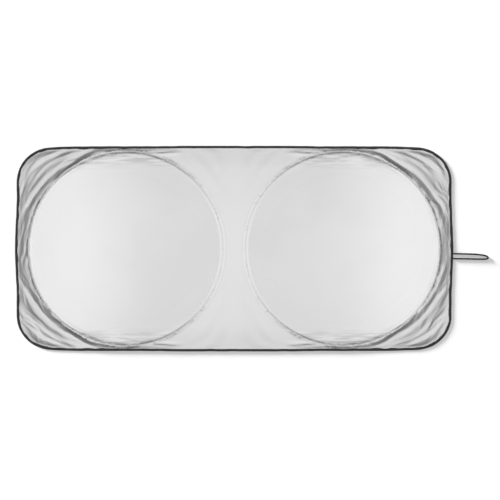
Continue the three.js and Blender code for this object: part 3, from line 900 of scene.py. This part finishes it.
def silver_finish():
    finish = Finish("silver_cloth")
    x, y, _ = finish.place()
    end, side = abs(x), abs(y)
    from_hoop = end - HOOP_X
    radius = (from_hoop * from_hoop + y * y).root()
    turn = y.angle_to(from_hoop)
    arc = turn * HOOP_RADIUS
    slack = radius.ramp(SEAM_RADIUS, SEAM_RADIUS + FOLD_FADE) * end.ramp(*CORNER_START, PANEL_SHARE, 1.0)
    slack = slack * end.ramp(*CREASE_ENDS)

    # the noise is another one in each quarter
    quarter = x.ramp(-QUARTER_BLEND, QUARTER_BLEND) + y.ramp(-QUARTER_BLEND, QUARTER_BLEND) * 2
    bend = finish.noise(x / BEND_SIZE, y / BEND_SIZE, quarter, 1.0) * BEND_REACH
    creases = finish.noise((radius + bend) / FINE_ACROSS, arc / FINE_ALONG, quarter)
    cloud = finish.noise(x / CLOUD_SIZE, y / CLOUD_SIZE, CLOUD_LAYER)
    waves = finish.noise(arc / PUCKER_LENGTH, radius / PUCKER_WIDTH, quarter, 1.0)
    uneven = finish.noise(turn * UNEVEN_TURNS, 0.0, quarter, 2.0, 0.6).ramp(0.4, 0.62, 0.1, 1.0)
    puckers = waves * radius.band(SEAM_RADIUS - 2 * MM, PUCKER_BAND) * uneven
    relief = weave(x, y, CLOTH_WEAVE) * WEAVE_DEPTH + puckers * PUCKER_DEPTH
    relief = relief + creases * slack * CREASE_DEPTH

    # painted shade, which darkens the colour
    wobble = finish.noise(turn * WOBBLE_TURNS, 0.0, quarter, 3.0, 0.6) * WOBBLE + waves * WAVE_WOBBLE
    # painted shade: a thin dark line that wanders along each seam, where its groove lies in shade
    line = (radius + wobble).band(SEAM_RADIUS, SEAM_SHADE_WIDTH) * end.ramp(*SEAM_SHADE_ENDS)
    line = line * (SEAM_SHADE_STRENGTH + side.ramp(*SEAM_SHADE_SIDES) * SEAM_SHADE_GAIN)
    # painted shade at the foot of the hoop, along the seam toward the shade's ends
    foot = (radius - wobble).band(SEAM_RADIUS - 1 * MM, FOOT_SHADE_WIDTH) * end.ramp(*FOOT_SHADE_ENDS)
    foot = foot * side.ramp(*FOOT_SHADE_SIDES) * FOOT_SHADE_STRENGTH
    # painted shade: a dark band round each corner, in place of the shade of the folds there
    corner_shade = (radius - bend * CORNER_SHADE_BEND).band(SEAM_RADIUS + CORNER_SHADE_GAP, CORNER_SHADE_WIDTH)
    corner_shade = corner_shade * side.ramp(*CORNER_SHADE_SIDES) * end.ramp(*CORNER_SHADE_ENDS) * CORNER_SHADE_STRENGTH
    # painted shade: faint streaky shade just inside the seam at the long sides of the discs
    ripple_shade = finish.noise(x / RIPPLE_SHADE_LENGTH, y / RIPPLE_SHADE_WIDTH, quarter).ramp(0.35, 0.65)
    ripple_shade = ripple_shade * side.ramp(*RIPPLE_SHADE_SIDES) * radius.ramp(SEAM_RADIUS, SEAM_RADIUS - 8 * MM)

    # painted highlight: the slack cloth gets a lighter colour, so its reflections come out brighter
    slack_highlight = radius.ramp(SEAM_RADIUS + 2 * MM, SEAM_RADIUS + 14 * MM)
    # painted highlight: two thin lighter bands along each seam near the shade's middle
    seam_highlight = sum(radius.band(SEAM_RADIUS + gap * MM, SEAM_HIGHLIGHT_WIDTH) for gap in SEAM_HIGHLIGHT_GAPS)
    seam_highlight = seam_highlight * end.ramp(*SEAM_HIGHLIGHT_ENDS, 1.0, 0.0)
    shade = finish.mix(cloud.ramp(0.3, 0.7), *[grey(level) for level in DISC_GREYS])
    shade = finish.mix(slack_highlight, shade, grey(SLACK_HIGHLIGHT_GREY))
    shade = finish.mix(seam_highlight, shade, grey(SEAM_HIGHLIGHT_GREY))
    shade = finish.mix(line + foot + corner_shade + ripple_shade * RIPPLE_SHADE_STRENGTH, shade, grey(0.0))
    return finish.surface({
        "Base Color": shade,
        "Metallic": 1.0,
        "Roughness": 0.22 + slack * 0.1 + cloud * 0.06,
        "Normal": finish.bump(relief, 1 * MM, 0.8),
    })


def under_finish():
    finish = Finish("cloth_underside")
    x, y, _ = finish.place()
    cloud = finish.noise(x / UNDER_CLOUD, y / UNDER_CLOUD, 0.0, 3.0)
    return finish.surface({
        "Base Color": finish.mix(cloud, (0.38, 0.385, 0.395, 1), (0.46, 0.465, 0.475, 1)),
        "Metallic": 0.1,
        "Roughness": 0.65 + cloud * 0.1,
        "Normal": finish.bump(weave(x, y, CLOTH_WEAVE), 0.05 * MM, 0.8),
    })


# %% [markdown]
# The tape and the elastic are plain black textiles. Neither is pure black: the threads catch a little
# light, so they get a charcoal colour, a soft sheen and a woven relief. Under the cloth, the casings
# are a plain grey weave and the hoops and their sleeves are drawn metal.

# %% Black tape, elastic, thread, casings and steel
TAPE_WEAVE = 0.9 * MM
CASING_WEAVE = 0.6 * MM
TAPE_FUZZ, ELASTIC_FUZZ, THREAD_TWIST = 6 * MM, 2 * MM, 0.4 * MM
CASING_CLOUD = 20 * MM
DRAWN_LENGTH, DRAWN_WIDTH = 3 * MM, 0.1 * MM


def tape_finish():
    finish = Finish("binding_tape")
    x, y, z = finish.place()
    fuzz = finish.noise(x / TAPE_FUZZ, y / TAPE_FUZZ, z / TAPE_FUZZ, 3.0, 0.6)
    return finish.surface({
        "Base Color": finish.mix(fuzz, (0.018, 0.018, 0.019, 1), (0.042, 0.042, 0.043, 1)),
        "Roughness": 0.8 + fuzz * 0.12,
        "Sheen Weight": 0.25,
        "Normal": finish.bump(weave(x, y, TAPE_WEAVE) + fuzz * 0.5, 0.12 * MM, 0.8),
    })


def elastic_finish():
    finish = Finish("elastic")
    x, y, z = finish.place()
    fuzz = finish.noise(x / ELASTIC_FUZZ, y / ELASTIC_FUZZ, z / ELASTIC_FUZZ, 3.0, 0.6)
    return finish.surface({
        "Base Color": finish.mix(fuzz, (0.006, 0.006, 0.006, 1), (0.02, 0.02, 0.02, 1)),
        "Roughness": 0.7 + fuzz * 0.2,
        "Specular IOR Level": 0.3,
        "Sheen Weight": 0.08,
        "Normal": finish.bump(fuzz, 0.1 * MM, 0.6),
    })


def thread_finish(name, dark, light):
    finish = Finish(name)
    x, y, z = finish.place()
    twist = finish.noise(x / THREAD_TWIST, y / THREAD_TWIST, z / THREAD_TWIST, 1.0)
    return finish.surface({
        "Base Color": finish.mix(twist, dark, light),
        "Roughness": 0.5 + twist * 0.2,
        "Sheen Weight": 0.2,
    })


def metal_finish(name, colour, roughness):
    finish = Finish(name)
    x, y, z = finish.place()
    drawn = finish.noise(x / DRAWN_LENGTH, y / DRAWN_LENGTH, z / DRAWN_WIDTH, 3.0, 0.6)
    return finish.surface({
        "Base Color": finish.mix(drawn, tuple(0.8 * c for c in colour) + (1,), colour + (1,)),
        "Metallic": 1.0,
        "Roughness": roughness + drawn * 0.15,
    })


def casing_finish():
    finish = Finish("casing_cloth")
    x, y, _ = finish.place()
    cloud = finish.noise(x / CASING_CLOUD, y / CASING_CLOUD, 0.0, 3.0)
    return finish.surface({
        "Base Color": finish.mix(cloud, (0.30, 0.305, 0.315, 1), (0.38, 0.385, 0.395, 1)),
        "Roughness": 0.7 + cloud * 0.1,
        "Normal": finish.bump(weave(x, y, CASING_WEAVE), 0.06 * MM, 0.8),
    })


cloth.data.materials.append(silver_finish())
cloth.data.materials.append(under_finish())
tape.data.materials.append(tape_finish())
elastic.data.materials.append(elastic_finish())
casing_material = casing_finish()
for casing in casings:
    casing.data.materials.append(casing_material)
silver_thread = thread_finish("silver_thread", (0.36, 0.36, 0.365, 1), (0.5, 0.5, 0.505, 1))
for stitches in hoop_stitches:
    stitches.data.materials.append(silver_thread)
black_thread = thread_finish("black_thread", (0.02, 0.02, 0.021, 1), (0.05, 0.05, 0.052, 1))
tape_stitches.data.materials.append(black_thread)

steel = metal_finish("spring_steel", (0.42, 0.43, 0.45), 0.3)
sleeve = metal_finish("sleeve_metal", (0.72, 0.73, 0.74), 0.35)
for side in ("left", "right"):
    for name, metal in ((f"{side}_hoop", steel), (f"{side}_hoop_sleeve", sleeve)):
        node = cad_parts[name]
        node.data.materials.clear()
        node.data.materials.append(metal)
print("finishes:", [material.name for material in bpy.data.materials])

# %% [markdown]
# The shade lies on a plain white floor. Its colour and a little light of its own that only the camera
# and mirrors see keep it white, while the lamps still draw the shade's soft shadow on it.

# %% Floor
FLOOR_HALF = 12.0
FLOOR_DROP = 0.2 * MM
FLOOR_PAINT = 0.9
FLOOR_GLOW = 0.25
corners = [(x * FLOOR_HALF, y * FLOOR_HALF, 0) for x, y in ((-1, -1), (1, -1), (1, 1), (-1, 1))]
floor = make_mesh("floor", corners, [(0, 1, 2, 3)])
floor.location.z = -FLOOR_DROP
print("floor:", 2 * FLOOR_HALF, "m wide")


def floor_finish():
    finish = Finish("white_floor")
    path = finish.tree.nodes.new("ShaderNodeLightPath")
    camera_ray = Flow(finish, path.outputs["Is Camera Ray"])
    glossy_ray = Flow(finish, path.outputs["Is Glossy Ray"])
    seen = camera_ray + glossy_ray
    paint = finish.node("ShaderNodeBsdfDiffuse", None, {"Color": grey(FLOOR_PAINT)})
    glow = finish.node("ShaderNodeEmission", None, {"Color": grey(1), "Strength": seen * FLOOR_GLOW})
    finish.close(finish.node("ShaderNodeAddShader", None, {0: paint, 1: glow}))
    return finish.material


floor.data.materials.append(floor_finish())

# %% [markdown]
# One wide soft lamp hangs over the middle of the shade and a smaller one over each end, so flat cloth
# mirrors them evenly and sloping cloth mirrors the dimmer room beside them. A low key light from the
# upper left draws the soft shadow that the picture shows below the shade and to its right. The cloth
# doesn't mirror it. The room is dim overhead and brighter toward the walls.

# %% Lamps and room
KEY_ENERGY = 11.4
KEY_SOFTNESS = math.radians(15)
KEY_RISE = math.radians(8.4)
KEY_HEADING = (0.85, -0.53)
ROOM_WALLS = 0.45
ROOM_CEILING = 0.14
ROOM_HEIGHTS = (0.1, 0.85)


def lamp(name, place, size, power):
    data = bpy.data.lights.new(name, "AREA")
    data.shape = "RECTANGLE"
    data.size, data.size_y = size
    data.energy = power
    light = bpy.data.objects.new(name, data)
    light.location = place
    light.visible_camera = False
    bpy.context.scene.collection.objects.link(light)


lamp("overhead", place=(0, 0, 2.2), size=(2.4, 1.5), power=8.55)
lamp("left_side", place=(-0.95, 0, 2.15), size=(0.6, 1.5), power=1.05)
lamp("right_side", place=(0.95, 0, 2.15), size=(0.6, 1.5), power=1.05)

key_data = bpy.data.lights.new("low_key", "SUN")
key_data.energy = KEY_ENERGY
key_data.angle = KEY_SOFTNESS
key = bpy.data.objects.new("low_key", key_data)
key_direction = Vector((*KEY_HEADING, -math.tan(KEY_RISE)))
key.rotation_euler = key_direction.to_track_quat("-Z", "Y").to_euler()
key.visible_glossy = False
bpy.context.scene.collection.objects.link(key)


def room_light():
    world = bpy.data.worlds.new("room")
    world.use_nodes = True
    nodes, links = world.node_tree.nodes, world.node_tree.links
    heading = nodes.new("ShaderNodeTexCoord")
    split = nodes.new("ShaderNodeSeparateXYZ")
    ramp = nodes.new("ShaderNodeMapRange")
    ramp.interpolation_type = "SMOOTHSTEP"
    ends = dict(zip(("From Min", "From Max"), ROOM_HEIGHTS))
    for name, value in {**ends, "To Min": ROOM_WALLS, "To Max": ROOM_CEILING}.items():
        ramp.inputs[name].default_value = value
    links.new(heading.outputs["Generated"], split.inputs[0])
    links.new(split.outputs["Z"], ramp.inputs["Value"])
    links.new(ramp.outputs["Result"], nodes["Background"].inputs["Strength"])
    nodes["Background"].inputs["Color"].default_value = grey(1)
    return world


bpy.context.scene.world = room_light()
bpy.context.scene.view_settings.view_transform = "Standard"
print("lamps:", [light.name for light in bpy.data.lights])
